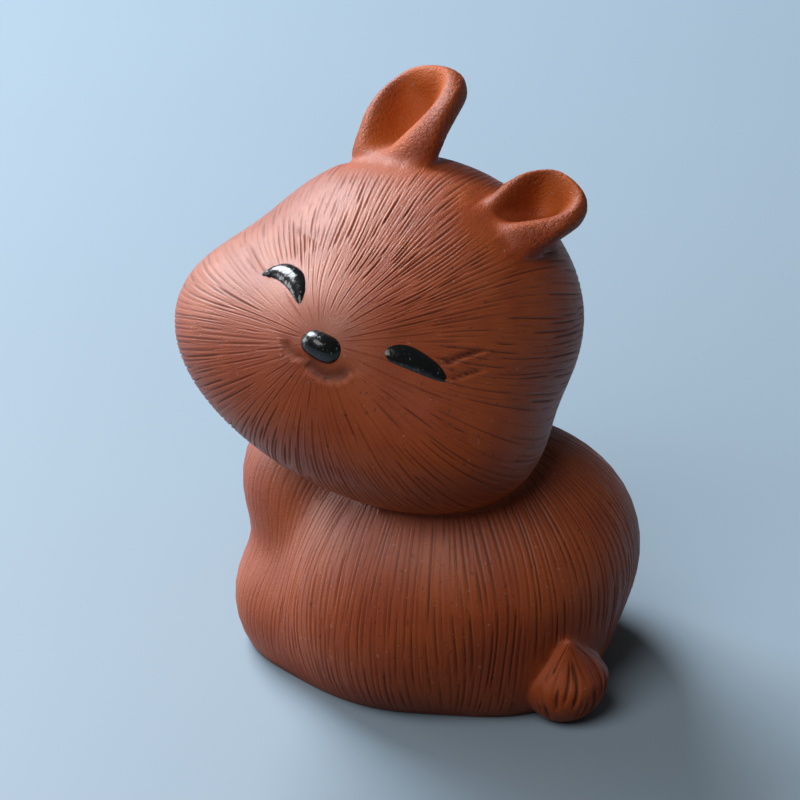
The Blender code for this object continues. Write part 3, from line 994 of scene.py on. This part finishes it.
glazeLook = {
    "dark": (0.006, 0.007, 0.008, 1.0),
    "speck": (0.10, 0.12, 0.12, 1.0),
    "specks": (2600.0, 1.0),
    "speckSpan": (0.66, 0.74),
    "speckShare": 0.7,
    "speckHeight": 0.15,
    "cloud": (700.0, 2.0),
    "waves": (1400.0, 1.0),
    "roughness": 0.17,
    "rougher": {"cloud": 0.12, "specks": 0.2},
    "bump": 0.42,
    "bumpDistance": 0.2,
}


def glazeFinish():
    look = glazeLook
    finish = Finish("blackGlaze", look["roughness"], {"IOR": 1.5})
    place = finish.node("ShaderNodeTexCoord", {}, {}, 3)
    specks = finish.ramp(finish.noise(place, *look["specks"]), *look["speckSpan"])
    cloud = finish.noise(place, *look["cloud"])
    finish.feed("Base Color", finish.blend(specks * look["speckShare"], look["dark"], look["speck"]))
    rougher = look["rougher"]
    finish.feed("Roughness", look["roughness"] + cloud * rougher["cloud"] + specks * rougher["specks"])
    height = finish.noise(place, *look["waves"]) + specks * look["speckHeight"]
    finish.bump(height, look["bump"], look["bumpDistance"])
    return finish.material


clay.data.materials.clear()
clay.data.materials.append(clayFinish())
glaze = glazeFinish()
for bead in beads:
    bead.data.materials.append(glaze)
print("finishes made")


# table top, light and camera

studio = {
    "floor": 3.0,
    "floorColour": (0.255, 0.338, 0.415),
    "floorRoughness": 0.55,
    "floorCloud": {"fine": 14.0, "detail": 3.0, "span": (0.3, 0.7), "share": 0.25, "tone": 0.92},
    "bounce": (0.11, 0.085, 0.06),  # what the floor gives back to the figure, so that its shadows stay deep
    "world": (1.0, 0.96, 0.92),
    "worldStrength": 0.06,
    "aim": (-1.1, 0.5, 27.5),
    "distance": 450.0,
    "elevation": 27.0,
    "lens": 202.5,
    "sensor": 36.0,
    "clip": (0.01, 10.0),
    "lamps": {  # where each lamp stands round the figure, its size, power and colour
        "window": {"way": (-0.45, 0.60, 0.66), "far": 0.6, "size": 0.36, "watts": 6.0, "colour": (0.90, 0.95, 1.0)},
        "side": {"way": (-0.90, 0.40, 0.18), "far": 0.6, "size": 0.3, "watts": 1.4, "colour": (0.94, 0.97, 1.0)},
        "above": {"way": (-0.36, -0.50, 0.76), "far": 0.7, "size": 0.5, "watts": 2.9, "colour": (1.0, 0.98, 0.96)},
    },
}


def makeFloor():
    bm = bmesh.new()
    bmesh.ops.create_grid(bm, x_segments=2, y_segments=2, size=0.5 * studio["floor"])
    mesh = bpy.data.meshes.new("tableTop")
    bm.to_mesh(mesh)
    bm.free()
    floor = newPiece("tableTop", mesh)
    finish = Finish("tableTop", studio["floorRoughness"], {})
    place = finish.node("ShaderNodeTexCoord", {}, {}, 3)
    look, colour = studio["floorCloud"], studio["floorColour"]
    cloud = finish.ramp(finish.noise(place, look["fine"], look["detail"]), *look["span"])
    darker = tuple(look["tone"] * c for c in colour)
    finish.feed("Base Color", finish.blend(cloud * look["share"], colour + (1.0,), darker + (1.0,)))
    camera, glossy, through = (finish.node("ShaderNodeLightPath", {}, {}, output) for output in (0, 3, 6))
    seen = camera + glossy + through
    dark = finish.node("ShaderNodeBsdfDiffuse", {}, {"Color": studio["bounce"] + (1.0,)})
    pale = Wire(finish, finish.shader.outputs[0])
    mixed = finish.node("ShaderNodeMixShader", {}, {0: seen, 1: dark, 2: pale})
    finish.links.new(mixed.socket, finish.nodes["Material Output"].inputs["Surface"])
    mesh.materials.append(finish.material)


def makeLamps():
    aim = Vector(studio["aim"]) * mm
    for name, lamp in studio["lamps"].items():
        light = bpy.data.lights.new(name, "AREA")
        light.shape, light.size = "DISK", lamp["size"]
        light.energy, light.color = lamp["watts"], lamp["colour"]
        holder = bpy.data.objects.new(name, light)
        bpy.context.scene.collection.objects.link(holder)
        way = Vector(lamp["way"]).normalized()
        holder.location = aim + way * lamp["far"]
        holder.rotation_euler = way.to_track_quat("Z", "Y").to_euler()
    world = bpy.data.worlds.new("room")
    world.use_nodes = True
    ground = world.node_tree.nodes["Background"].inputs
    ground["Color"].default_value = (*studio["world"], 1.0)
    ground["Strength"].default_value = studio["worldStrength"]
    bpy.context.scene.world = world


def makeCamera():
    lens = bpy.data.cameras.new("camera")
    lens.lens, lens.sensor_width = studio["lens"], studio["sensor"]
    lens.clip_start, lens.clip_end = studio["clip"]
    camera = bpy.data.objects.new("camera", lens)
    bpy.context.scene.collection.objects.link(camera)
    rise = radians(studio["elevation"])
    way = Vector((0.0, -cos(rise), sin(rise)))
    camera.location = (Vector(studio["aim"]) + way * studio["distance"]) * mm
    camera.rotation_euler = way.to_track_quat("Z", "Y").to_euler()
    bpy.context.scene.camera = camera


makeFloor()
makeLamps()
makeCamera()
bpy.context.scene.view_settings.view_transform = "Standard"
print("stage set")
